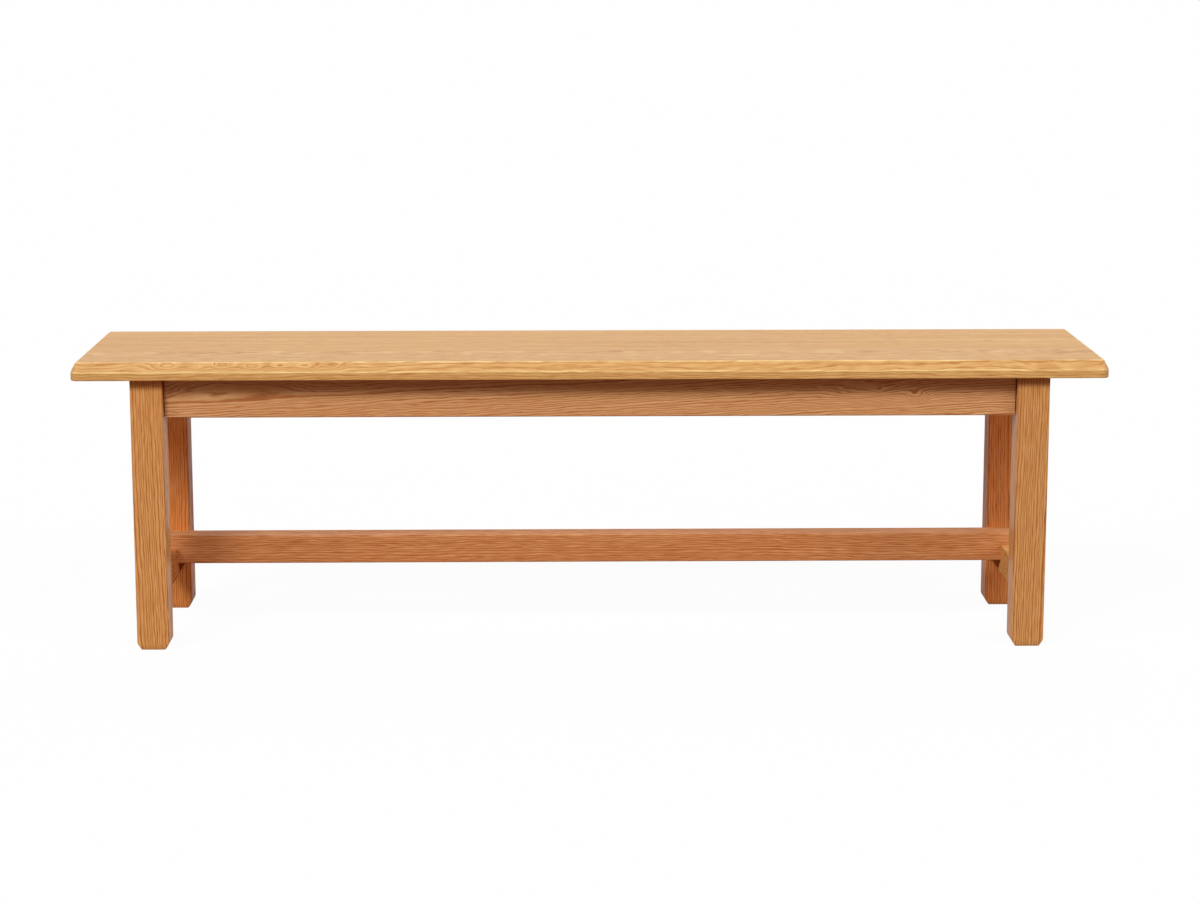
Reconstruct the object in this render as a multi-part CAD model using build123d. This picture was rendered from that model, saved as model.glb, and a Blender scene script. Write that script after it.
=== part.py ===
from build123d import *
import math
import os

# A solid oak dining bench, in millimetres. X runs along the bench with +X to the right, the
# front is at -Y, and the floor is at Z zero under the middle of the seat. Everything is
# alike left and right, and front and rear.

# The seat, glued up from full-length boards with loose tongues in the glue lines
seat_length = 1600.0
seat_width = 360.0
seat_thickness = 28.0
seat_height = 457.0
seat_board_names = ("front", "middle", "rear")
bevel_run = 8.0
bevel_rise = 15.0
seat_corner_radius = 12.0
fold_radius = 3.0
seat_under_radius = 1.5
seat_tongue_thickness = 6.0
seat_tongue_width = 18.0
seat_tongue_stop = 60.0
seat_tongue_play = 0.3

# The legs, square in section. The foot tapers, more on its sides than on its two faces
leg_size = 50.0
leg_end_overhang = 89.0
leg_side_overhang = 15.0
leg_arris = 1.5
foot_side_run = 6.5
foot_face_run = 2.0
foot_rise = 10.0

# The aprons, tenoned into the legs, with tenons mitred where they meet inside the leg
apron_height = 62.0
apron_thickness = 22.0
apron_setback = 12.0
apron_arris = 1.5
apron_tenon_thickness = 8.0
apron_tenon_shoulder = 8.0
tenon_end_gap = 1.0

# The stretchers: one low down at each end, and one along the middle lapped over them
end_stretcher_width = 45.0
end_stretcher_height = 45.0
centre_stretcher_width = 45.0
centre_stretcher_height = 45.0
centre_stretcher_bottom = 107.0
lap_rise = 20.0
lap_housing = 5.0
stretcher_arris = 1.5
stretcher_tenon_thickness = 14.0
stretcher_tenon_shoulder = 7.0
stretcher_tenon_length = 34.0

# The braces across the inside corners of the frame
brace_thickness = 22.0
brace_height = 40.0
brace_drop = 6.0
brace_leg_gap = 0.5
brace_screw_seat = 9.0

# The bearer across the middle, let into the long aprons
bearer_width = 45.0
bearer_height = 30.0
bearer_tenon_length = 10.0
bearer_tenon_height = 22.0
bearer_tenon_shoulder = 8.0
bearer_counterbore_depth = 8.0

# The buttons that hold the seat down, with a tongue in the groove inside each apron
groove_drop = 11.0
groove_height = 7.0
groove_depth = 6.0
button_length = 36.0
button_width = 25.0
button_tongue_length = 5.0
button_tongue_thickness = 6.0
button_shoulder_gap = 3.0
button_corner_radius = 3.0
long_apron_button_shares = (-0.82, -0.36, 0.36, 0.82)

# The wood screws, countersunk, with a cross recess in the head
screw_diameter = 4.0
screw_head_diameter = 8.0
screw_head_height = 2.2
screw_point_length = 5.0
recess_width = 1.2
recess_span = 4.4
recess_depth = 1.2
screw_play = 0.1
pocket_play = 0.75
brace_screw_length = 22.0
button_screw_length = 30.0
bearer_screw_length = 35.0
lap_screw_length = 40.0
lap_counterbore_depth = 15.0

# Every cut runs past the surface that it opens by this much.
overrun = 2.0

# Places worked out from the sizes above
seat_under = seat_height - seat_thickness
leg_outer_x = seat_length / 2 - leg_end_overhang
leg_outer_y = seat_width / 2 - leg_side_overhang
leg_inner_x = leg_outer_x - leg_size
leg_inner_y = leg_outer_y - leg_size
apron_bottom = seat_under - apron_height
apron_outer_x = leg_outer_x - apron_setback
apron_outer_y = leg_outer_y - apron_setback
apron_inner_x = apron_outer_x - apron_thickness
apron_inner_y = apron_outer_y - apron_thickness
tenon_cheek = (apron_thickness - apron_tenon_thickness) / 2
tenon_low_x = apron_inner_x + tenon_cheek
tenon_high_x = apron_outer_x - tenon_cheek
tenon_low_y = apron_inner_y + tenon_cheek
tenon_high_y = apron_outer_y - tenon_cheek
apron_tenon_bottom = apron_bottom + apron_tenon_shoulder
apron_tenon_top = seat_under - apron_tenon_shoulder
groove_top = seat_under - groove_drop
centre_stretcher_top = centre_stretcher_bottom + centre_stretcher_height
end_stretcher_top = centre_stretcher_top - lap_rise
end_stretcher_bottom = end_stretcher_top - end_stretcher_height
end_stretcher_centre_x = (leg_inner_x + leg_outer_x) / 2
end_stretcher_inner_x = end_stretcher_centre_x - end_stretcher_width / 2
end_stretcher_outer_x = end_stretcher_centre_x + end_stretcher_width / 2
lap_under = end_stretcher_top - lap_housing
bearer_bottom = seat_under - bearer_height
bearer_screw_spacing = seat_width / 4
button_bottom = groove_top - button_tongue_thickness


def block(low, high):
    # A plain box from its lowest to its highest corner.
    sizes = [b - a for a, b in zip(low, high)]
    return Pos(*low) * Box(*sizes, align=(Align.MIN, Align.MIN, Align.MIN))


def prism(points, low, high):
    # An upright prism on an outline seen from above.
    outline = make_face(Polyline(*points, close=True))
    return Pos(0, 0, low) * extrude(outline, high - low)


def eased_bar(low, high, axis, radius):
    # A box whose long edges are rounded over a little, as by sandpaper.
    bar = block(low, high)
    return fillet(bar.edges().filter_by(axis), radius)


def mirrored(piece, side_x, side_y):
    # A piece made for the +X +Y corner, set in one of the four corners.
    if side_x < 0:
        piece = mirror(piece, about=Plane.YZ)
    if side_y < 0:
        piece = mirror(piece, about=Plane.XZ)
    return piece


def screw_body(length, play):
    # A countersunk screw from its head at Z zero up to its point. The hole for it is the
    # same shape with some play all round.
    head = screw_head_diameter / 2 + play
    shank = screw_diameter / 2 + play
    points = [
        (0, 0, 0),
        (head, 0, 0),
        (shank, 0, screw_head_height),
        (shank, 0, length - screw_point_length),
        (0, 0, length + play),
    ]
    outline = make_face(Polyline(*points, close=True))
    return revolve(outline, Axis.Z)


def screw(length):
    # The screw itself, with its cross recess.
    body = screw_body(length, 0)
    half_width = recess_width / 2
    half_span = recess_span / 2
    body -= block((-half_span, -half_width, 0), (half_span, half_width, recess_depth))
    body -= block((-half_width, -half_span, 0), (half_width, half_span, recess_depth))
    return body


def screw_hole(length, pocket_depth):
    # The pilot hole with its countersink, and a round pocket in front of the head.
    hole = screw_body(length, screw_play)
    radius = screw_head_diameter / 2 + pocket_play
    pocket = Cylinder(radius, pocket_depth, align=(Align.CENTER, Align.CENTER, Align.MAX))
    return hole + pocket


def button_places():
    # Each button's place: the middle of its edge on the apron's inner face, turned so that
    # its tongue points out of the bench.
    places = []
    for share in long_apron_button_shares:
        places.append(Pos(share * leg_inner_x, -apron_inner_y, 0))
        places.append(Pos(share * leg_inner_x, apron_inner_y, 0) * Rot(Z=180))
    places.append(Pos(-apron_inner_x, 0, 0) * Rot(Z=-90))
    places.append(Pos(apron_inner_x, 0, 0) * Rot(Z=90))
    return places


def button_screw_places():
    # A screw stands in the middle of the thick part of each button.
    middle = (button_shoulder_gap + button_length) / 2
    return [place * Pos(0, middle, button_bottom) for place in button_places()]


def bearer_screw_places():
    # One screw in the middle of the bearer and one on each side of it.
    height = bearer_bottom + bearer_counterbore_depth
    return [Pos(0, side * bearer_screw_spacing, height) for side in (-1, 0, 1)]


def lap_screw_place():
    # The screw up through the right-hand lap.
    return Pos(end_stretcher_centre_x, 0, end_stretcher_bottom + lap_counterbore_depth)


def brace_sums():
    # X + Y on the inner and on the outer face of the +X +Y brace, just inside its leg.
    outer_sum = leg_inner_x + leg_inner_y - brace_leg_gap * math.sqrt(2)
    return outer_sum - brace_thickness * math.sqrt(2), outer_sum


def brace_screw_places():
    # One screw through the +X +Y brace square into each of its two aprons.
    middle = sum(brace_sums()) / 2
    height = seat_under - brace_drop - brace_height / 2
    head_x = apron_inner_x - brace_screw_seat
    head_y = apron_inner_y - brace_screw_seat
    into_long_apron = Pos(middle - apron_inner_y, head_y, height) * Rot(X=-90)
    into_end_apron = Pos(head_x, middle - apron_inner_x, height) * Rot(Y=90)
    return into_long_apron, into_end_apron


def whole_seat():
    # The glued-up seat as one piece, bevelled along its top edges and drilled from below.
    plan = RectangleRounded(seat_length, seat_width, seat_corner_radius)
    seat = Pos(0, 0, seat_under) * extrude(plan, seat_thickness)
    top = seat.faces().sort_by(Axis.Z)[-1]
    seat = chamfer(top.edges(), bevel_run, bevel_rise, reference=top)
    # From the floor up: the edges below, the upright seams, the bevel's lower edge, its
    # slanted seams and its upper edge.
    loops = seat.edges().group_by(Axis.Z)
    seat = fillet(loops[2] + loops[-1], fold_radius)
    seat = fillet(seat.faces().sort_by(Axis.Z)[0].edges(), seat_under_radius)
    for groove in seat_tongues(seat_tongue_play).values():
        seat -= groove
    for place in button_screw_places():
        seat -= place * screw_body(button_screw_length, screw_play)
    for place in bearer_screw_places():
        seat -= place * screw_body(bearer_screw_length, screw_play)
    return seat


def glue_lines():
    # The Y of each glue line between two boards of the same width.
    board_width = seat_width / len(seat_board_names)
    return [i * board_width - seat_width / 2 for i in range(1, len(seat_board_names))]


def seat_tongues(play):
    # The loose tongues, or their grooves where there is play. The grooves stop short of
    # the seat's ends, so no tongue shows there.
    tongues = {}
    half_length = seat_length / 2 - seat_tongue_stop + play
    half_width = seat_tongue_width / 2 + play
    low = seat_under + (seat_thickness - seat_tongue_thickness) / 2
    for name, line in zip(seat_board_names[::2], glue_lines()):
        corner = (-half_length, line - half_width, low)
        opposite = (half_length, line + half_width, low + seat_tongue_thickness)
        tongues["seat_tongue_" + name] = block(corner, opposite)
    return tongues


def seat_boards():
    # The seat cut along its glue lines.
    seat = whole_seat()
    half_length = seat_length / 2 + overrun
    lines = [-seat_width / 2 - overrun, *glue_lines(), seat_width / 2 + overrun]
    boards = {}
    for name, low, high in zip(seat_board_names, lines, lines[1:]):
        slab = block((-half_length, low, 0), (half_length, high, seat_height + overrun))
        boards["seat_board_" + name] = seat & slab
    return boards


def stretcher_tenon(end_gap):
    # The tenon of an end stretcher in the +X +Y leg, or its mortise where there is a gap.
    half = stretcher_tenon_thickness / 2
    end = leg_inner_y + stretcher_tenon_length + end_gap
    bottom = end_stretcher_bottom + stretcher_tenon_shoulder
    top = end_stretcher_top - stretcher_tenon_shoulder
    low = (end_stretcher_centre_x - half, leg_inner_y, bottom)
    return block(low, (end_stretcher_centre_x + half, end, top))


def leg():
    # The +X +Y leg with its tapered foot and its three mortises. The two mortises for the
    # aprons meet inside it.
    inner_foot = (leg_inner_x, leg_inner_y, 0)
    post = eased_bar(inner_foot, (leg_outer_x, leg_outer_y, seat_under), Axis.Z, leg_arris)
    centre = Pos((leg_inner_x + leg_outer_x) / 2, (leg_inner_y + leg_outer_y) / 2, 0)
    sole = Rectangle(leg_size - 2 * foot_side_run, leg_size - 2 * foot_face_run)
    ankle = Pos(0, 0, foot_rise) * Rectangle(leg_size, leg_size)
    foot = loft([sole, ankle], ruled=True)
    shaft = extrude(ankle, seat_under - foot_rise)
    post = post & (centre * (foot + shaft))
    mortise_end = (tenon_high_x, tenon_high_y, apron_tenon_top)
    post -= block((leg_inner_x, tenon_low_y, apron_tenon_bottom), mortise_end)
    post -= block((tenon_low_x, leg_inner_y, apron_tenon_bottom), mortise_end)
    return post - stretcher_tenon(tenon_end_gap)


def long_apron():
    # The rear apron, tenoned into both rear legs, grooved for the buttons on its inner
    # face and housed for the bearer.
    low = (-leg_inner_x, apron_inner_y, apron_bottom)
    high = (leg_inner_x, apron_outer_y, seat_under)
    apron = eased_bar(low, high, Axis.X, apron_arris)
    tenon_plan = [
        (leg_inner_x, tenon_low_y),
        (tenon_low_x - tenon_end_gap, tenon_low_y),
        (tenon_high_x - tenon_end_gap, tenon_high_y),
        (leg_inner_x, tenon_high_y),
    ]
    tenon = prism(tenon_plan, apron_tenon_bottom, apron_tenon_top)
    groove_low = (-leg_inner_x, apron_inner_y - overrun, groove_top - groove_height)
    groove_high = (leg_inner_x, apron_inner_y + groove_depth, groove_top)
    apron -= block(groove_low, groove_high)
    apron -= bearer_tenon(overrun)
    hole = brace_screw_places()[0] * screw_body(brace_screw_length, screw_play)
    for side in (-1, 1):
        apron += mirrored(tenon, side, 1)
        apron -= mirrored(hole, side, 1)
    return apron


def end_apron():
    # The right-hand apron, tenoned and grooved like the long ones.
    low = (apron_inner_x, -leg_inner_y, apron_bottom)
    high = (apron_outer_x, leg_inner_y, seat_under)
    apron = eased_bar(low, high, Axis.Y, apron_arris)
    tenon_plan = [
        (tenon_low_x, leg_inner_y),
        (tenon_high_x, leg_inner_y),
        (tenon_high_x, tenon_high_y - tenon_end_gap),
        (tenon_low_x, tenon_low_y - tenon_end_gap),
    ]
    tenon = prism(tenon_plan, apron_tenon_bottom, apron_tenon_top)
    groove_low = (apron_inner_x - overrun, -leg_inner_y, groove_top - groove_height)
    groove_high = (apron_inner_x + groove_depth, leg_inner_y, groove_top)
    apron -= block(groove_low, groove_high)
    hole = brace_screw_places()[1] * screw_body(brace_screw_length, screw_play)
    for side in (-1, 1):
        apron += mirrored(tenon, 1, side)
        apron -= mirrored(hole, 1, side)
    return apron


def end_stretcher():
    # The right-hand stretcher, tenoned into its two legs. The centre stretcher sits in a
    # shallow housing across its top, held by a screw from below.
    low = (end_stretcher_inner_x, -leg_inner_y, end_stretcher_bottom)
    high = (end_stretcher_outer_x, leg_inner_y, end_stretcher_top)
    bar = eased_bar(low, high, Axis.Y, stretcher_arris)
    for side in (-1, 1):
        bar += mirrored(stretcher_tenon(0), 1, side)
    half_width = centre_stretcher_width / 2
    housing_low = (end_stretcher_inner_x - overrun, -half_width, lap_under)
    housing_high = (end_stretcher_outer_x + overrun, half_width, end_stretcher_top + overrun)
    bar -= block(housing_low, housing_high)
    return bar - lap_screw_place() * screw_hole(lap_screw_length, lap_counterbore_depth + overrun)


def centre_stretcher():
    # The long stretcher. Each end is notched from below, so that its lower part stops at
    # the end stretcher and its upper part runs on across it.
    half_width = centre_stretcher_width / 2
    low = (-end_stretcher_outer_x, -half_width, centre_stretcher_bottom)
    high = (end_stretcher_outer_x, half_width, centre_stretcher_top)
    bar = eased_bar(low, high, Axis.X, stretcher_arris)
    notch_low = (end_stretcher_inner_x, -half_width - overrun, centre_stretcher_bottom - overrun)
    notch_high = (end_stretcher_outer_x + overrun, half_width + overrun, lap_under)
    notch = block(notch_low, notch_high)
    notch += lap_screw_place() * screw_body(lap_screw_length, screw_play)
    for side in (-1, 1):
        bar -= mirrored(notch, side, 1)
    return bar


def bearer_tenon(rise):
    # The rear tenon of the bearer, or its housing, which is open at the top.
    half = bearer_width / 2 - bearer_tenon_shoulder
    low = (-half, apron_inner_y, seat_under - bearer_tenon_height)
    high = (half, apron_inner_y + bearer_tenon_length, seat_under + rise)
    return block(low, high)


def bearer():
    # The cross bearer under the middle of the seat, let into both long aprons.
    half_width = bearer_width / 2
    low = (-half_width, -apron_inner_y, bearer_bottom)
    bar = eased_bar(low, (half_width, apron_inner_y, seat_under), Axis.Y, apron_arris)
    for side in (-1, 1):
        bar += mirrored(bearer_tenon(0), 1, side)
    for place in bearer_screw_places():
        bar -= place * screw_hole(bearer_screw_length, bearer_counterbore_depth + overrun)
    return bar


def brace():
    # The +X +Y corner brace: a short board across the corner, mitred against both aprons.
    inner_sum, outer_sum = brace_sums()
    plan = [
        (inner_sum - apron_inner_y, apron_inner_y),
        (outer_sum - apron_inner_y, apron_inner_y),
        (apron_inner_x, outer_sum - apron_inner_x),
        (apron_inner_x, inner_sum - apron_inner_x),
    ]
    top = seat_under - brace_drop
    board = prism(plan, top - brace_height, top)
    for place in brace_screw_places():
        board -= place * screw_hole(brace_screw_length, brace_thickness)
    return board


def button():
    # A seat button: a small block with a tongue at one end, screwed up under the seat.
    half_width = button_width / 2
    block_low = (-half_width, button_shoulder_gap, button_bottom)
    body = block(block_low, (half_width, button_length, seat_under))
    inner_corners = body.edges().filter_by(Axis.Z).group_by(Axis.Y)[-1]
    body = fillet(inner_corners, button_corner_radius)
    tongue_low = (-half_width, -button_tongue_length, button_bottom)
    body += block(tongue_low, (half_width, button_shoulder_gap, groove_top))
    middle = (button_shoulder_gap + button_length) / 2
    return body - Pos(0, middle, button_bottom) * screw_hole(button_screw_length, overrun)


def screws(places, length):
    # Several of the same screw, as one group of solids.
    return Compound(children=[place * screw(length) for place in places])


def all_parts():
    # Every piece by name, in the order in which it is put together.
    parts = {}
    for end, side_x in (("left", -1), ("right", 1)):
        for face, side_y in (("front", -1), ("rear", 1)):
            parts[f"leg_{face}_{end}"] = mirrored(leg(), side_x, side_y)
            parts[f"corner_brace_{face}_{end}"] = mirrored(brace(), side_x, side_y)
        parts["apron_" + end] = mirrored(end_apron(), side_x, 1)
        parts["stretcher_" + end] = mirrored(end_stretcher(), side_x, 1)
    for face, side_y in (("front", -1), ("rear", 1)):
        parts["apron_" + face] = mirrored(long_apron(), 1, side_y)
    parts["stretcher_centre"] = centre_stretcher()
    parts["seat_bearer"] = bearer()
    parts.update(seat_tongues(0))
    parts.update(seat_boards())
    parts["seat_buttons"] = Compound(children=[place * button() for place in button_places()])
    parts["seat_button_screws"] = screws(button_screw_places(), button_screw_length)
    parts["seat_bearer_screws"] = screws(bearer_screw_places(), bearer_screw_length)
    brace_screws = [place * screw(brace_screw_length) for place in brace_screw_places()]
    corners = [(x, y) for x in (-1, 1) for y in (-1, 1)]
    in_corners = [mirrored(item, *corner) for corner in corners for item in brace_screws]
    parts["corner_brace_screws"] = Compound(children=in_corners)
    lap_screw = lap_screw_place() * screw(lap_screw_length)
    both_laps = [mirrored(lap_screw, side, 1) for side in (-1, 1)]
    parts["stretcher_lap_screws"] = Compound(children=both_laps)
    return parts


os.makedirs("parts", exist_ok=True)
for part_name, part_shape in all_parts().items():
    export_step(part_shape, "parts/" + part_name + ".step")
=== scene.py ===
import math
import bmesh
import bpy
from mathutils import Euler, Matrix, Vector


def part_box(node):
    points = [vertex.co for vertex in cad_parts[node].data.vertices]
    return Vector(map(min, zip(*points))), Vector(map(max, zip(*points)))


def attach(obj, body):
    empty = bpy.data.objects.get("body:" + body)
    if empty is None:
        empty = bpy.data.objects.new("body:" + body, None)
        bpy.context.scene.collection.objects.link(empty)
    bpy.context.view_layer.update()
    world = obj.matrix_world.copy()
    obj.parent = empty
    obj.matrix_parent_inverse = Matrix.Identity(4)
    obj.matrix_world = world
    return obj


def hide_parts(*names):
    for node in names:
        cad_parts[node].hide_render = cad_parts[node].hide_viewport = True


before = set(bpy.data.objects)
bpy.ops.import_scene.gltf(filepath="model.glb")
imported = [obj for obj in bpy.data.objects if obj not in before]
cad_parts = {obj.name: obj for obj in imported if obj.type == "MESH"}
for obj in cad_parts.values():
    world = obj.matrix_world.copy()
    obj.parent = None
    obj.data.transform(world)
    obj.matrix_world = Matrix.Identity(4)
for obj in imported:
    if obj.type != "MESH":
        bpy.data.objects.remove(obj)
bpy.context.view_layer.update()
millimetre = 0.001
perMetre = 1 / millimetre
sameSpot = 1e-5                  # m, places and heights nearer than this are one
onCut = 1e-7                     # m, points nearer than this to a cut lie on it
squareOn = 0.999                 # a line or a face above this cosine points along an axis


# Colours and nodes

def linear(hexColour):
    # an sRGB hex colour as linear red, green, blue and alpha
    parts = [int(hexColour[i:i + 2], 16) / 255 for i in (1, 3, 5)]
    return [p / 12.92 if p <= 0.04045 else ((p + 0.055) / 1.055) ** 2.4 for p in parts] + [1.0]


def addNode(tree, kind, settings=(), **sockets):
    # one node: its settings, then each socket by name or number, linked or set
    node = tree.nodes.new("ShaderNode" + kind)
    for name, value in dict(settings).items():
        setattr(node, name, value)
    for name, value in sockets.items():
        socket = node.inputs[int(name[1:])] if name[1:].isdigit() else node.inputs[name.replace("_", " ")]
        if isinstance(value, bpy.types.NodeSocket):
            tree.links.new(value, socket)
        else:
            socket.default_value = value
    return node.outputs


def newMaterial(name):
    material = bpy.data.materials.new(name)
    material.use_nodes = True
    material.node_tree.nodes.clear()
    return material, material.node_tree


# Oak, sawn, planed and sanded, with a clear satin lacquer. Every board is cut from its own
# place in a log: growth rings about a pith line, darker where the open spring pores are.
# The lacquer gives a soft sheen and leaves the pores a little sunken and less shiny.

noiseMiddle = 0.5                # every noise lies about this
oakPatterns = {                  # length along the grain and width in mm, detail, place in the noise
    "bend": (620.0, 140.0, 1.0, 0.0),       # the trunk's slow bends
    "jitter": (22.0, 3.0, 0.0, 7.7),        # small waves of a single ring line
    "dash": (30.0, 1.5, 0.0, 5.2),          # bundles of pores and pale flecks, drawn coarser than real
    "fibre": (150.0, 2.6, 1.0, 8.8),        # long soft streaks between the dashes
    "pore": (9.0, 0.9, 1.0, 9.4),           # drawn coarser than the real 4.5 by 0.3, so that they show
    "broad": (700.0, 13.0, 2.0, 2.4),       # runs of darker and paler years
    "fade": (260.0, 26.0, 1.0, 11.3),       # where the ring lines are strong or weak
}
oakFinish = {
    "roughness": 0.46,           # satin lacquer
    "ior": 1.5,                  # of the lacquer
    "loses": (0.37, 0.69, 1.0),  # deeper oak loses blue first and red last
    "lightest": -0.85,           # depth of colour at the tone's pale end, 0 for a board's own colour
    "darkest": 1.25,             # and at its dark end
    "toneSteps": 6,
    "middleTone": 0.45,          # the tone where no pattern adds to it
    "bend": 24.0,                # mm, from side to side
    "jitter": 2.2,               # mm, from side to side
    "waveNoise": (2.0, 3.1),     # detail, place in the noise
    "swellFall": 0.3679,         # e to the power of -1, for a bell-shaped swelling
    "yearNoise": (0.06, 1.0),    # per mm, how soon wide years follow narrow ones, and detail
    "yearSpread": 2.6,           # years
    "yearEnds": 0.3,             # how dark a year starts and ends, then its course between them
    "yearCourse": ((0.07, 1.0), (0.22, 0.8), (0.38, 0.15), (0.85, 0.0)),
    "yearMean": 0.28,            # about a year's mean, so that the rings keep a board's colour
    "fadeRange": (1.2, 0.1),     # the rings' strength is the noise times the first, plus the second
    "dashContrast": 2.4,         # about the noise's middle
    "fibreShare": 0.4,           # of the dashes' strength
    "poreContrast": 5.0,         # how sharply a pore starts
    "poreStart": 0.55,           # noise below this has no pores
    "poreSpring": 0.75,          # share of a pore's depth that only the spring wood gives
    "poreTone": 0.2,             # how much darker a pore is
    "paintedLightAndShadeTone": 0.3,           # how much paler the painted highlight is, and darker the painted shade
    "endTint": "#ddc2ad",        # end grain drinks more lacquer and looks darker and redder
    "endTurn": 6.0,              # how soon that goes as a face turns away from the grain
    "endShare": 0.7,             # of the tint, on a face square to the grain
    "bumpDepth": 0.22,           # mm, how deep a pore line sits under the lacquer
    "springDip": 0.35,           # of that depth
    "dashRise": 0.3,             # of that depth
    "poreRough": 0.2,            # how much rougher a pore is
    "fibreRough": 0.12,          # from the smoothest streak to the roughest
}
plainBoard = {                   # what a board has where its own look says nothing else
    "lean": (0, 0),              # degrees between the board and the log
    "ring": 3.8,                 # mm a year, of the real 2 to 4. The seat's 4.4 is coarser, to show
    "wave": (85, 20, 2.2),       # mm, the length, width and height of the rings' waves
    "lines": 0.85,               # how dark the rings show
    "flecks": 0.18,              # strength of the dashes and fibres
    "drift": 0.1,                # strength of the darker and paler years
    "gloss": 0.32,               # how much the lacquer mirrors, 0.5 for all that its ior gives
    "swirls": (),                # mm, each swelling's place along, across and deep, reach, girth and lift
}
grainTurns = {"X": (0, 0, 0), "Y": (0, 0, -math.pi / 2), "Z": (0, math.pi / 2, 0)}
noiseWay = (1.0, 1.7, 0.6)       # how far each pattern is moved through the noise, times its place


def oakShade(colour, depth):
    return [c * math.exp(-depth * k) for c, k in zip(linear(colour), oakFinish["loses"])] + [1.0]


def oakBoard(name, centre, grain, ownLook):
    # pith is how far the log's middle lies from the board's middle, across and deep, in mm,
    # and slide is how far along the log the board was cut
    look = {**plainBoard, **ownLook}
    material, tree = newMaterial(name)
    place = addNode(tree, "TexCoord")
    lean = Euler((0, *(math.radians(angle) for angle in look["lean"])))
    turn = Matrix.Identity(3)
    turn.rotate(Euler(grainTurns[grain]))
    turn.rotate(lean)
    fromPith = Vector((look["slide"], -look["pith"][0], -look["pith"][1]))
    board = addNode(tree, "Mapping", Location=fromPith - turn @ (Vector(centre) * perMetre),
                    Rotation=turn.to_euler(), Scale=[perMetre] * 3, _0=place["Object"])[0]

    def calc(kind, a, b=0.0, c=0.0, clamp=False):
        return addNode(tree, "Math", {"operation": kind, "use_clamp": clamp}, _0=a, _1=b, _2=c)[0]

    def noise(pattern, source=board):
        length, width, detail, seed = pattern
        stretched = addNode(tree, "VectorMath", {"operation": "MULTIPLY_ADD"}, _0=source,
                            _1=(1 / length, 1 / width, 1 / width), _2=[seed * way for way in noiseWay])[0]
        return addNode(tree, "TexNoise", {"noise_dimensions": "3D"}, Vector=stretched, Scale=1.0,
                       Detail=detail)

    def sway(pattern, height, before):
        # moves the grain sideways by up to half the height each way
        return addNode(tree, "VectorMath", {"operation": "MULTIPLY_ADD"}, _0=noise(pattern)["Color"],
                       _1=(0, height, height), _2=before)[0]

    # the trunk's slow bends, then the finer waves of each ring
    bent = sway(oakPatterns["bend"], oakFinish["bend"], board)
    waveLength, waveWidth, waveHeight = look["wave"]
    waved = sway((waveLength, waveWidth, *oakFinish["waveNoise"]), 2 * waveHeight, bent)
    moved = sway(oakPatterns["jitter"], oakFinish["jitter"], waved)
    flat = addNode(tree, "VectorMath", {"operation": "MULTIPLY"}, _0=moved, _1=(0, 1, 1))[0]
    radius = addNode(tree, "VectorMath", {"operation": "LENGTH"}, _0=flat)["Value"]

    for along, across, deep, reach, girth, lift in look["swirls"]:
        # the grain swells round a knot or a bump in the trunk
        spot = lean.to_matrix() @ Vector((along, across, deep)) + fromPith
        off = addNode(tree, "VectorMath", {"operation": "SUBTRACT"}, _0=board, _1=spot)[0]
        scaled = addNode(tree, "VectorMath", {"operation": "MULTIPLY"}, _0=off,
                         _1=(1 / reach, 1 / girth, 1 / girth))[0]
        away = addNode(tree, "VectorMath", {"operation": "DOT_PRODUCT"}, _0=scaled, _1=scaled)["Value"]
        radius = calc("MULTIPLY_ADD", calc("POWER", oakFinish["swellFall"], away), lift, radius)

    # some years are wide and some narrow, and each starts with its dark spring pores
    yearScale, yearDetail = oakFinish["yearNoise"]
    years = addNode(tree, "TexNoise", {"noise_dimensions": "1D"}, W=radius, Scale=yearScale,
                    Detail=yearDetail)[0]
    year = calc("MULTIPLY_ADD", years, oakFinish["yearSpread"], calc("DIVIDE", radius, look["ring"]))
    spring = addNode(tree, "ValToRGB", Fac=calc("FRACT", year))[0]
    levels = spring.node.color_ramp.elements
    for end in levels:
        end.color = (*[oakFinish["yearEnds"]] * 3, 1)
    for spot, level in oakFinish["yearCourse"]:
        levels.new(spot).color = (level, level, level, 1)

    lengthwise = addNode(tree, "SeparateXYZ", _0=board)["X"]

    def streaks(pattern):
        # vessels lie along the rings, so these lines follow them round every face
        length, width, detail, seed = pattern
        spot = addNode(tree, "CombineXYZ", X=calc("MULTIPLY_ADD", lengthwise, 1 / length, seed),
                       Y=calc("DIVIDE", radius, width))[0]
        return addNode(tree, "TexNoise", {"noise_dimensions": "2D"}, Vector=spot, Scale=1.0, Detail=detail)[0]

    dash = calc("MULTIPLY_ADD", streaks(oakPatterns["dash"]), oakFinish["dashContrast"],
                noiseMiddle * (1 - oakFinish["dashContrast"]), True)
    fibre = streaks(oakPatterns["fibre"])
    pore = calc("MULTIPLY_ADD", noise(oakPatterns["pore"], waved)[0], oakFinish["poreContrast"],
                -oakFinish["poreContrast"] * oakFinish["poreStart"], True)
    pore = calc("MULTIPLY", pore,
                calc("MULTIPLY_ADD", spring, oakFinish["poreSpring"], 1 - oakFinish["poreSpring"]))
    broad = streaks(oakPatterns["broad"])
    strength = calc("MULTIPLY_ADD", noise(oakPatterns["fade"])[0], *oakFinish["fadeRange"], True)
    # a face value for painted light: a painted highlight on the seat's folds and the centre stretcher's top,
    # painted shade on the aprons' bottom arrises
    paintedLightAndShade = addNode(tree, "Attribute", {"attribute_name": "paintedLightAndShade"})["Fac"]

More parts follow.
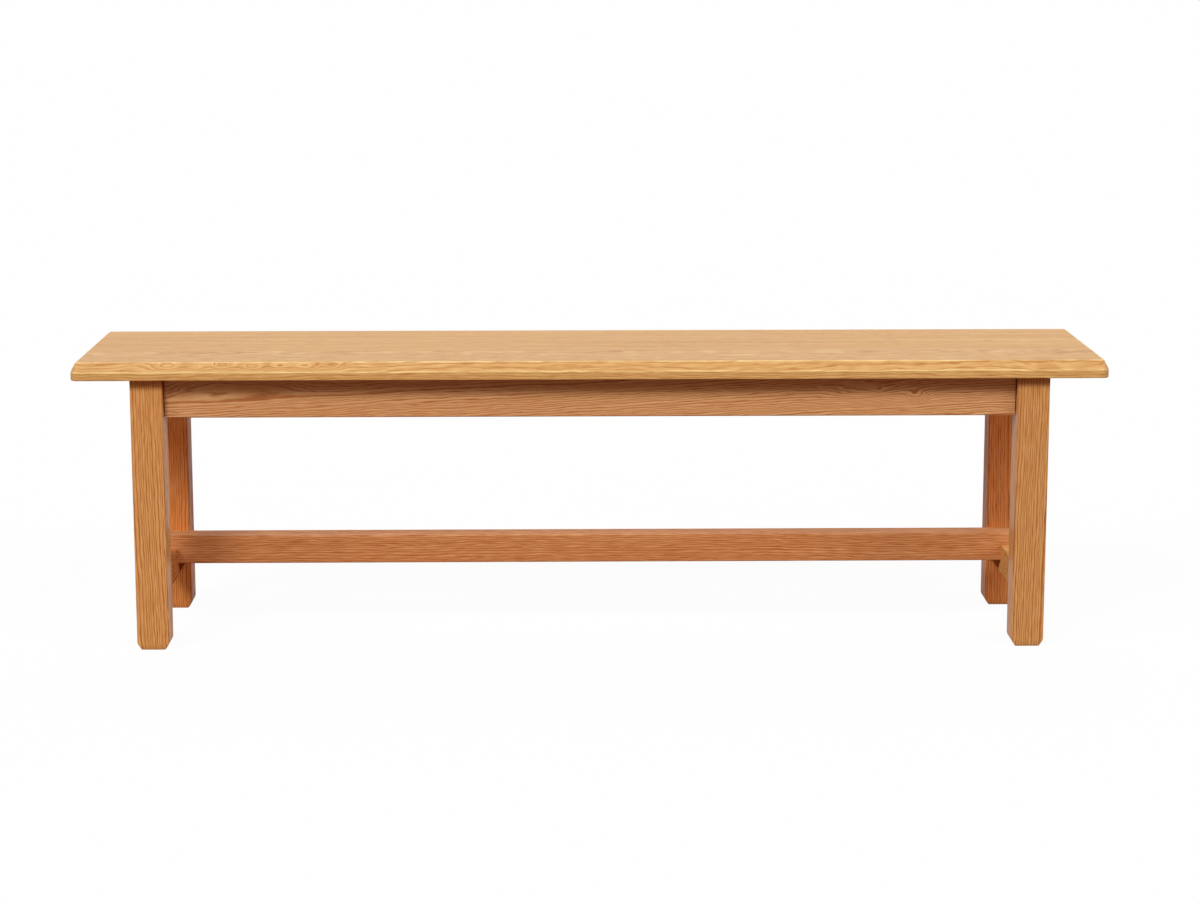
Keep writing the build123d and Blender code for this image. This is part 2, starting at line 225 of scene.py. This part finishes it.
    # each pattern less its middle, so that the board keeps its colour on the whole
    tone = calc("MULTIPLY", calc("SUBTRACT", spring, oakFinish["yearMean"]), strength)
    tone = calc("MULTIPLY_ADD", tone, look["lines"], oakFinish["middleTone"])
    for pattern, amount in ((dash, look["flecks"]), (fibre, oakFinish["fibreShare"] * look["flecks"]),
                            (broad, look["drift"])):
        tone = calc("MULTIPLY_ADD", calc("SUBTRACT", pattern, noiseMiddle), amount, tone)
    tone = calc("MULTIPLY_ADD", pore, oakFinish["poreTone"], tone)
    # paler where a highlight is painted, darker where shade is painted
    tone = calc("MULTIPLY_ADD", paintedLightAndShade, -oakFinish["paintedLightAndShadeTone"], tone, True)
    wood = addNode(tree, "ValToRGB", Fac=tone)[0]
    shades = wood.node.color_ramp.elements
    steps = oakFinish["toneSteps"]
    for i in range(1, steps):
        shades.new(i / steps)
    for i, shade in enumerate(shades):
        depth = oakFinish["lightest"] + (oakFinish["darkest"] - oakFinish["lightest"]) * i / steps
        shade.color = oakShade(look["colour"], depth)

    # the end tint, on the surfaces that were sawn across the grain
    facing = addNode(tree, "VectorMath", {"operation": "DOT_PRODUCT"}, _0=place["Normal"],
                     _1=[float(axis == grain) for axis in "XYZ"])["Value"]
    ends = calc("POWER", calc("ABSOLUTE", facing), oakFinish["endTurn"])
    ends = calc("MULTIPLY", ends, oakFinish["endShare"])
    sawn = addNode(tree, "Mix", {"data_type": "RGBA", "blend_type": "MULTIPLY"}, Factor=ends, _6=wood,
                   _7=linear(oakFinish["endTint"]))[2]

    height = calc("MULTIPLY_ADD", pore, -1.0, calc("MULTIPLY", spring, -oakFinish["springDip"]))
    height = calc("MULTIPLY_ADD", dash, oakFinish["dashRise"], height)
    bump = addNode(tree, "Bump", Height=height, Distance=oakFinish["bumpDepth"] * millimetre, Strength=1.0)[0]
    rough = calc("MULTIPLY_ADD", fibre, oakFinish["fibreRough"],
                 oakFinish["roughness"] - oakFinish["fibreRough"] / 2)
    rough = calc("MULTIPLY_ADD", pore, oakFinish["poreRough"], rough)
    shader = addNode(tree, "BsdfPrincipled", Base_Color=sawn, Roughness=rough, IOR=oakFinish["ior"],
                     Specular_IOR_Level=look["gloss"], Normal=bump)[0]
    addNode(tree, "OutputMaterial", Surface=shader)
    return material


# Building pieces

smoothing = {
    "sharpAngle": 50,            # degrees
    "evenWeight": 100,           # the flat faces lead the shading of the eased edges
}


def middleOf(low, high):
    return [(a + b) / 2 for a, b in zip(low, high)]


def allOf(bm):
    return [*bm.verts, *bm.edges, *bm.faces]


def stickFrom(low, high):
    # a squared stick between two corners
    bm = bmesh.new()
    bmesh.ops.create_cube(bm, size=1.0)
    bmesh.ops.scale(bm, vec=[b - a for a, b in zip(low, high)], verts=bm.verts)
    bmesh.ops.translate(bm, vec=middleOf(low, high), verts=bm.verts)
    return bm


def drawnOut(points, axis, low, high):
    # a closed outline of a few points, drawn out along an axis
    bm = bmesh.new()
    way = "XYZ".index(axis)
    face = bm.faces.new([bm.verts.new((*point[:way], low, *point[way:])) for point in points])
    grown = bmesh.ops.extrude_face_region(bm, geom=[face])["geom"]
    step = Vector()
    step[way] = high - low
    bmesh.ops.translate(bm, vec=step, verts=[g for g in grown if isinstance(g, bmesh.types.BMVert)])
    bmesh.ops.recalc_face_normals(bm, faces=bm.faces)
    return bm


def runsAlong(edge, axis):
    line = edge.verts[1].co - edge.verts[0].co
    return abs(line["XYZ".index(axis)]) > squareOn * line.length


def levelEdges(bm, height, within=sameSpot):
    return [e for e in bm.edges if all(abs(v.co.z - height) < within for v in e.verts)]


def easeEdges(bm, edges, radius, steps=3):
    return bmesh.ops.bevel(bm, geom=list(edges), offset=radius, offset_type="OFFSET", segments=steps,
                           profile=0.5, affect="EDGES", material=-1, clamp_overlap=True)["faces"]


def finishPiece(name, bm, material, nodes):
    bmesh.ops.recalc_face_normals(bm, faces=bm.faces)
    mesh = bpy.data.meshes.new(name)
    bm.to_mesh(mesh)
    bm.free()
    mesh.polygons.foreach_set("use_smooth", [True] * len(mesh.polygons))
    mesh.set_sharp_from_angle(angle=math.radians(smoothing["sharpAngle"]))
    piece = bpy.data.objects.new(name, mesh)
    bpy.context.scene.collection.objects.link(piece)
    mesh.materials.append(material)
    level = piece.modifiers.new("evenShading", "WEIGHTED_NORMAL")
    level.keep_sharp = True
    level.weight = smoothing["evenWeight"]
    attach(piece, "root")
    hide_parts(*nodes)


# The seat: one bevelled plank, sawn afterwards into its three glued boards

seat = {                         # mm
    "bevelRun": 8.0,             # in from the edge, at the top
    "bevelRise": 15.0,           # down from the top
    "cornerRadius": 12.0,
    "cornerSteps": 8,
    "foldRadius": 1.5,
    "foldSteps": 4,
    "underRadius": 1.5,
}
seatBoards = {
    "front": {"colour": "#d1a363", "pith": (58, -115), "slide": 300, "ring": 3.6, "lean": (0.9, 0),
              "wave": (120, 24, 4.6), "lines": 0.45, "flecks": 0.17, "drift": 0.12, "gloss": 0.25,
              "swirls": [(-652, -57, 9, 22, 7, 11), (-606, -56, 6, 16, 6, 9), (-566, -57, 10, 18, 7, 12),
                         (-520, -56, 7, 20, 6, 10), (-478, -57, 9, 15, 6, 9), (-440, -56, 7, 24, 7, 12),
                         (-395, -57, 9, 14, 6, 8)]},
    "middle": {"colour": "#d1a15b", "pith": (130, -90), "slide": 2100, "ring": 4.4, "lines": 0.42,
               "flecks": 0.15, "drift": 0.4, "gloss": 0.25, "swirls": [(646, 45, 14, 14, 10, 9)]},
    "rear": {"colour": "#d1a15b", "pith": (-120, -80), "slide": 4200, "ring": 4.4, "lines": 0.42,
             "flecks": 0.15, "drift": 0.4, "gloss": 0.25},
}


def wholeSeat():
    low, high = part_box("seat_board_front")[0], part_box("seat_board_rear")[1]
    rise = seat["bevelRise"] * millimetre
    bm = stickFrom(low, (high.x, high.y, high.z - rise))
    easeEdges(bm, [e for e in bm.edges if runsAlong(e, "Z")], seat["cornerRadius"] * millimetre,
              seat["cornerSteps"])
    top = max(bm.faces, key=lambda f: f.calc_center_median().z)
    bmesh.ops.inset_region(bm, faces=[top], thickness=seat["bevelRun"] * millimetre, depth=rise,
                           use_even_offset=True, use_boundary=True)
    easeEdges(bm, levelEdges(bm, low.z), seat["underRadius"] * millimetre)
    paintedLightAndShade = bm.faces.layers.float.new("paintedLightAndShade")
    # the folds' faces get a painted highlight, a paler tone in place of the light that they catch
    for height in (high.z - rise, high.z):
        for face in easeEdges(bm, levelEdges(bm, height), seat["foldRadius"] * millimetre, seat["foldSteps"]):
            face[paintedLightAndShade] = 1.0
    return bm


def sawnAt(bm, y, towards):
    # keeps what lies on one side of a glue line
    cut = bmesh.ops.bisect_plane(bm, geom=allOf(bm), plane_co=(0, y, 0), plane_no=(0, towards, 0),
                                 clear_inner=True, dist=onCut)["geom_cut"]
    bmesh.ops.contextual_create(bm, geom=[g for g in cut if isinstance(g, bmesh.types.BMEdge)])


for boardName, look in seatBoards.items():
    node = "seat_board_" + boardName
    low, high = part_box(node)
    bm = wholeSeat()
    if boardName != "front":
        sawnAt(bm, low.y, 1)
    if boardName != "rear":
        sawnAt(bm, high.y, -1)
    oak = oakBoard("lacquered oak, seat " + boardName, middleOf(low, high), "X", look)
    finishPiece("seatBoard." + boardName, bm, oak, [node])
print("seat done")


# The legs, with a bevelled foot

legs = {                         # mm
    "sideRun": 6.5,              # how far the sole is set in at the sides
    "faceRun": 2.0,              # and at the front and back
    "footRise": 10.0,
    "arris": 1.5,
    "footRound": 3.0,
    "footSteps": 4,
}
legLooks = {
    "front_left": {"colour": "#cc9053", "pith": (35, 110), "slide": 120, "lean": (1.5, 0), "gloss": 0.25},
    "front_right": {"colour": "#c68d52", "pith": (-30, 120), "slide": 900, "lean": (-1, 0), "gloss": 0.25},
    # the rear legs are painted lighter and redder than the front ones, painted light where the seat's shade
    # falls on them
    "rear_left": {"colour": "#e4924f", "pith": (40, 105), "slide": 1700, "gloss": 0.1},
    "rear_right": {"colour": "#ee9a57", "pith": (40, -115), "slide": 2600, "gloss": 0.1},
}


def legPost(low, high):
    bm = stickFrom(low, high)
    ankle = low.z + legs["footRise"] * millimetre
    bmesh.ops.bisect_plane(bm, geom=allOf(bm), plane_co=(0, 0, ankle), plane_no=(0, 0, 1))
    sole = [v for v in bm.verts if v.co.z < low.z + sameSpot]
    narrow = [1 - 2 * legs[run] * millimetre / (high.x - low.x) for run in ("sideRun", "faceRun")]
    toMiddle = Matrix.Translation(-Vector(middleOf(low, high)))
    bmesh.ops.scale(bm, vec=(*narrow, 1), space=toMiddle, verts=sole)
    level = levelEdges(bm, high.z) + levelEdges(bm, ankle)
    easeEdges(bm, [e for e in bm.edges if e not in level], legs["arris"] * millimetre)
    # easing the corners has moved the ankle's points a little off their height
    easeEdges(bm, levelEdges(bm, ankle, 10 * sameSpot), legs["footRound"] * millimetre, legs["footSteps"])
    return bm


for corner, look in legLooks.items():
    low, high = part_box("leg_" + corner)
    oak = oakBoard("lacquered oak, leg " + corner.replace("_", " "), middleOf(low, high), "Z", look)
    finishPiece("leg." + corner, legPost(low, high), oak, ["leg_" + corner])
print("legs done")


# The aprons, grooved inside for the seat's buttons

aprons = {                       # mm
    "thickness": 22.0,
    "grooveDrop": 11.0,          # down from the top
    "grooveHeight": 7.0,
    "grooveDepth": 6.0,
    "arris": 1.5,
    "jointGap": 2.0,             # wider than on a tight joint, so that its dark line shows
    "tenonCheek": 7.0,           # how far the tenon is set in from the faces
    "tenonShoulder": 8.0,        # and from the top and bottom
}
apronLooks = {
    "front": {"colour": "#c8925f", "pith": (12, -85), "slide": 640, "lean": (3.5, 0), "wave": (110, 18, 5.0),
              "lines": 0.98, "flecks": 0.14,
              "swirls": [(-600, -11, 24, 75, 17, -20), (-500, -11, 20, 60, 14, -14),
                         (430, -11, 4, 60, 13, 14), (505, -11, 0, 16, 9, 12)]},
    "rear": {"colour": "#c8925f", "pith": (-70, -20), "slide": 2900},
    "left": {"colour": "#c8925f", "pith": (60, 10), "slide": 5200},
    "right": {"colour": "#c8925f", "pith": (60, -30), "slide": 6100},
}


def apronBoard(side, outer):
    # the board's section, with the groove in the face across from the outer one
    inner = outer - side * aprons["thickness"] * millimetre
    bottom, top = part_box("apron_front")[0].z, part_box("leg_front_left")[1].z
    grooveTop = top - aprons["grooveDrop"] * millimetre
    grooveBottom = grooveTop - aprons["grooveHeight"] * millimetre
    back = inner + side * aprons["grooveDepth"] * millimetre
    return [(outer, bottom), (outer, top), (inner, top), (inner, grooveTop), (back, grooveTop),
            (back, grooveBottom), (inner, grooveBottom), (inner, bottom)]


def boxOf(bm):
    spots = [v.co for v in bm.verts]
    return [min(s[i] for s in spots) for i in range(3)], [max(s[i] for s in spots) for i in range(3)]


def apronEdges(bm, axis):
    # the four long corners, but not the groove's
    lows, highs = boxOf(bm)
    corners = [way for way in range(3) if way != "XYZ".index(axis)]

    def outside(spot):
        return all(min(spot[way] - lows[way], highs[way] - spot[way]) < sameSpot for way in corners)

    return [e for e in bm.edges if runsAlong(e, axis) and outside(e.verts[0].co)]


def addTenons(bm, axis):
    # a tenon at each end crosses the fine gap to the leg, which shows as the joint's dark line
    lows, highs = boxOf(bm)
    along, across = "XYZ".index(axis), 1 - "XYZ".index(axis)
    inset = {across: aprons["tenonCheek"] * millimetre, 2: aprons["tenonShoulder"] * millimetre}

    def endFaces(towards):
        bm.normal_update()
        return [f for f in bm.faces if f.normal[along] * towards > squareOn]

    def onTenon(face):
        spot = face.calc_center_median()
        return all(lows[way] + depth < spot[way] < highs[way] - depth for way, depth in inset.items())

    for towards in (-1, 1):
        for way, depth in inset.items():
            for spot in (lows[way] + depth, highs[way] - depth):
                place, square = Vector(), Vector()
                place[way], square[way] = spot, 1
                parts = {g for f in endFaces(towards) for g in [f, *f.edges, *f.verts]}
                bmesh.ops.bisect_plane(bm, geom=list(parts), plane_co=place, plane_no=square, dist=10 * onCut)
        tenon = [f for f in endFaces(towards) if onTenon(f)]
        grown = bmesh.ops.extrude_face_region(bm, geom=tenon + [e for f in tenon for e in f.edges])["geom"]
        step = Vector()
        step[along] = towards * aprons["jointGap"] * millimetre
        bmesh.ops.translate(bm, vec=step, verts=[g for g in grown if isinstance(g, bmesh.types.BMVert)])


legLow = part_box("leg_rear_right")[0]
for apronName, look in apronLooks.items():
    node = "apron_" + apronName
    low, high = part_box(node)
    side = 1 if apronName in ("rear", "right") else -1
    if apronName in ("front", "rear"):
        axis, reach, outer = "X", legLow.x, (high.y if side > 0 else low.y)
    else:
        axis, reach, outer = "Y", legLow.y, (high.x if side > 0 else low.x)
    shoulder = reach - aprons["jointGap"] * millimetre
    arris = aprons["arris"] * millimetre
    bm = drawnOut(apronBoard(side, outer), axis, -shoulder, shoulder)
    paintedLightAndShade = bm.faces.layers.float.new("paintedLightAndShade")
    for face in easeEdges(bm, apronEdges(bm, axis), arris):
        if face.calc_center_median().z < low.z + 2 * arris:
            face[paintedLightAndShade] = -1.0      # below zero, a painted shade on the bottom arris
    addTenons(bm, axis)
    oak = oakBoard("lacquered oak, apron " + apronName, middleOf(low, high), axis, look)
    finishPiece("apron." + apronName, bm, oak, [node])
print("aprons done")


# The stretchers: one at each end, and the long one lapped over both

stretchers = {
    "arris": 1.5,                # mm
    "lapRise": 20.0,             # mm that the centre one stands above the ones at the ends
    "housing": 5.0,              # mm that it is let into them
    "topPaintedLight": 0.2,            # how much of the folds' painted highlight the centre stretcher's top gets, painted light on a face that looks up
}
stretcherLooks = {
    # the left one is painted darker, a painted shade, and the right one paler, painted light from the key on
    # the left
    "left": {"colour": "#c07a46", "pith": (50, 50), "slide": 7300, "gloss": 0.0},
    "right": {"colour": "#cf9658", "pith": (55, -48), "slide": 8100, "gloss": 0.0},
    "centre": {"colour": "#c78654", "pith": (-20, 90), "slide": 9000, "ring": 3.6, "wave": (60, 10, 2.0),
               "lines": 0.6, "flecks": 0.24, "drift": 0.25, "gloss": 0.04},
}
centreLow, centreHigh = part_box("stretcher_centre")
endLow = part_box("stretcher_right")[0]
lapUnder = centreHigh.z - (stretchers["lapRise"] + stretchers["housing"]) * millimetre


def easeStretcher(bm, axis):
    # every long corner but the lap's
    easeEdges(bm, [e for e in bm.edges if runsAlong(e, axis) and abs(e.verts[0].co.z - lapUnder) > sameSpot],
              stretchers["arris"] * millimetre)


for endName in ("left", "right"):
    low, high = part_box("stretcher_" + endName)
    outline = [(-legLow.y, low.z), (legLow.y, low.z), (legLow.y, high.z), (centreHigh.y, high.z),
               (centreHigh.y, lapUnder), (centreLow.y, lapUnder), (centreLow.y, high.z), (-legLow.y, high.z)]
    bm = drawnOut(outline, "X", low.x, high.x)
    easeStretcher(bm, "Y")
    oak = oakBoard("lacquered oak, stretcher " + endName, middleOf(low, high), "Y", stretcherLooks[endName])
    finishPiece("stretcher." + endName, bm, oak, ["stretcher_" + endName])

outline = [(centreLow.x, centreHigh.z), (centreHigh.x, centreHigh.z), (centreHigh.x, lapUnder),
           (endLow.x, lapUnder), (endLow.x, centreLow.z), (-endLow.x, centreLow.z), (-endLow.x, lapUnder),
           (centreLow.x, lapUnder)]
bm = drawnOut(outline, "Y", centreLow.y, centreHigh.y)
paintedLightAndShade = bm.faces.layers.float.new("paintedLightAndShade")
bm.normal_update()
# the top face gets painted light, a paler tone because it looks up towards the lamps
for face in bm.faces:
    if face.normal.z > squareOn and face.calc_center_median().z > centreHigh.z - sameSpot:
        face[paintedLightAndShade] = stretchers["topPaintedLight"]
easeStretcher(bm, "X")
oak = oakBoard("lacquered oak, stretcher centre", middleOf(centreLow, centreHigh), "X",
               stretcherLooks["centre"])
finishPiece("stretcher.centre", bm, oak, ["stretcher_centre"])
print("stretchers done")


# The pieces inside the frame keep their solids and get their finish here

innerOak = {"colour": "#c99058", "pith": (40, 60)}
innerPieces = {                  # the way of the grain, and how far along the log each was cut, in mm
    "seat_bearer": ("Y", 400),
    "seat_buttons": ("X", 1500),
    "seat_tongue_front": ("X", 2500),
    "seat_tongue_rear": ("X", 3500),
    "corner_brace_front_left": ("Z", 4500),
    "corner_brace_front_right": ("Z", 5500),
    "corner_brace_rear_left": ("Z", 6500),
    "corner_brace_rear_right": ("Z", 7500),
}


def giveFinish(node, material):
    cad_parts[node].data.materials.clear()
    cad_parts[node].data.materials.append(material)


for node, (grain, slide) in innerPieces.items():
    giveFinish(node, oakBoard("plain oak, " + node.replace("_", " "), middleOf(*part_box(node)), grain,
                              {**innerOak, "slide": slide}))

# The screws are cold-formed steel with a thin zinc plating, which is dull and a little grainy

zinc = {
    "colour": "#b9b6ad",
    "gritScale": 900.0,          # per m, a grain of 1.1 mm, coarser than real so that it shows
    "gritDetail": 3.0,
    "roughest": 0.42,
    "smoothest": 0.22,
    "gritDepth": 0.04,           # mm
}
screws, screwTree = newMaterial("zinc plated steel, screws")
grit = addNode(screwTree, "TexNoise", Vector=addNode(screwTree, "TexCoord")["Object"],
               Scale=zinc["gritScale"], Detail=zinc["gritDetail"])[0]
screwRough = addNode(screwTree, "Math", {"operation": "MULTIPLY_ADD"}, _0=grit,
                     _1=zinc["roughest"] - zinc["smoothest"], _2=zinc["smoothest"])[0]
screwBump = addNode(screwTree, "Bump", Height=grit, Distance=zinc["gritDepth"] * millimetre)[0]
screwShader = addNode(screwTree, "BsdfPrincipled", Base_Color=linear(zinc["colour"]), Metallic=1.0,
                      Roughness=screwRough, Normal=screwBump)[0]
addNode(screwTree, "OutputMaterial", Surface=screwShader)
for node in ("seat_button_screws", "seat_bearer_screws", "corner_brace_screws", "stretcher_lap_screws"):
    giveFinish(node, screws)
print("inner pieces done")


# Studio: a pale floor, a soft key from the front left and above, a weak light from behind
# and three soft fills, two of them low enough to reach under the seat

studio = {
    "floorSize": 120.0,          # m
    "floorDrop": 0.2,            # mm under the feet
    "floorBounce": "#8a6241",    # the colour of the light that the floor throws back
    "white": "#ffffff",
    "floorLift": 0.96,           # share of plain white that the camera sees, the rest keeps the shadow
    "roomLight": 0.09,           # strength of the light that the room gives, where 1 is plain white
    "roomTint": "#ffa070",       # and its colour
    "lampDistance": 3.0,         # m
}
# Each lamp has its degrees above the horizon, degrees to the right, strength and degrees of
# spread. A strength of 1 shows a surface that faces the lamp in its own colour.
lamps = {
    "keyLight": (42.0, -31.0, 0.56, 15.0),
    "fillRight": (43.0, 35.0, 0.18, 20.0),
    "lowRight": (25.0, 60.0, 0.33, 20.0),
    "lowLeft": (25.0, -60.0, 0.28, 26.0),
    "backLight": (50.0, 180.0, 0.17, 40.0),
}


def seenDirectly(tree):
    # 1 for what the camera, a reflection or glass sees, 0 for the light that it gives
    rays = addNode(tree, "LightPath")
    both = addNode(tree, "Math", {"operation": "MAXIMUM"}, _0=rays["Is Camera Ray"], _1=rays["Is Glossy Ray"])
    return addNode(tree, "Math", {"operation": "MAXIMUM"}, _0=both[0], _1=rays["Is Transmission Ray"])[0]


bm = bmesh.new()
bmesh.ops.create_grid(bm, x_segments=2, y_segments=2, size=studio["floorSize"] / 2)
mesh = bpy.data.meshes.new("studioFloor")
bm.to_mesh(mesh)
bm.free()
floor = bpy.data.objects.new("studioFloor", mesh)
bpy.context.scene.collection.objects.link(floor)
floor.location.z = -studio["floorDrop"] * millimetre

# uncoated paper off a wide roll, so it has no seam and no shine, and only the shadow shows
paper, paperTree = newMaterial("matt white backdrop paper")
seen = seenDirectly(paperTree)
paperColour = addNode(paperTree, "Mix", {"data_type": "RGBA"}, Factor=seen,
                      _6=linear(studio["floorBounce"]), _7=linear(studio["white"]))[2]
matt = addNode(paperTree, "BsdfDiffuse", Color=paperColour)[0]
white = addNode(paperTree, "Emission", Color=linear(studio["white"]), Strength=1.0)[0]
share = addNode(paperTree, "Math", {"operation": "MULTIPLY"}, _0=seen, _1=studio["floorLift"])[0]
addNode(paperTree, "OutputMaterial", Surface=addNode(paperTree, "MixShader", _0=share, _1=matt, _2=white)[0])
mesh.materials.append(paper)

world = bpy.data.worlds.new("studioRoom")
bpy.context.scene.world = world
world.use_nodes = True
world.node_tree.nodes.clear()
room = world.node_tree
seen = seenDirectly(room)
roomStrength = addNode(room, "MapRange", Value=seen, To_Min=studio["roomLight"], To_Max=1.0)[0]
roomColour = addNode(room, "Mix", {"data_type": "RGBA"}, Factor=seen,
                     _6=linear(studio["roomTint"]), _7=linear(studio["white"]))[2]
addNode(room, "OutputWorld", Surface=addNode(room, "Background", Color=roomColour, Strength=roomStrength)[0])


def sunLamp(name, height, side, strength, spread):
    lamp = bpy.data.lights.new(name, "SUN")
    lamp.energy = strength * math.pi
    lamp.angle = math.radians(spread)
    holder = bpy.data.objects.new(name, lamp)
    up, turn = math.radians(height), math.radians(side)
    towards = Vector((math.cos(up) * math.sin(turn), -math.cos(up) * math.cos(turn), math.sin(up)))
    holder.rotation_mode = "QUATERNION"
    holder.rotation_quaternion = towards.to_track_quat("Z", "Y")
    holder.location = towards * studio["lampDistance"]
    bpy.context.scene.collection.objects.link(holder)


for lampName, values in lamps.items():
    sunLamp(lampName, *values)

bpy.context.scene.view_settings.view_transform = "Standard"


# The camera stands where the photograph was taken from

camera = {
    "focalPixels": 2814.1,       # on an image 1200 pixels wide
    "imageWidth": 1200,
    "sensorWidth": 36.0,         # mm
    "side": -48.9,               # mm
    "distance": 4455.6,          # mm
    "height": 1101.8,            # mm
    "pitch": 10.412,             # degrees
    "yaw": -0.839,               # degrees
    "roll": -0.045,              # degrees
    "clipEnd": 300.0,            # m
}
yaw, pitch, roll = (math.radians(camera[angle]) for angle in ("yaw", "pitch", "roll"))
right = Vector((math.cos(yaw), math.sin(yaw), 0))
ahead = Vector((-math.sin(yaw), math.cos(yaw), 0))
forward = ahead * math.cos(pitch) - Vector((0, 0, math.sin(pitch)))
upward = ahead * math.sin(pitch) + Vector((0, 0, math.cos(pitch)))
right, upward = (right * math.cos(roll) + upward * math.sin(roll),
                 upward * math.cos(roll) - right * math.sin(roll))
lens = bpy.data.cameras.new("photoCamera")
lens.sensor_width = camera["sensorWidth"]
lens.lens = camera["focalPixels"] / camera["imageWidth"] * camera["sensorWidth"]
lens.clip_end = camera["clipEnd"]
photoCamera = bpy.data.objects.new("photoCamera", lens)
photoCamera.rotation_mode = "QUATERNION"
photoCamera.rotation_quaternion = Matrix((right, upward, -forward)).transposed().to_quaternion()
photoCamera.location = Vector((camera["side"], -camera["distance"], camera["height"])) * millimetre
bpy.context.scene.collection.objects.link(photoCamera)
bpy.context.scene.camera = photoCamera
print("studio done")
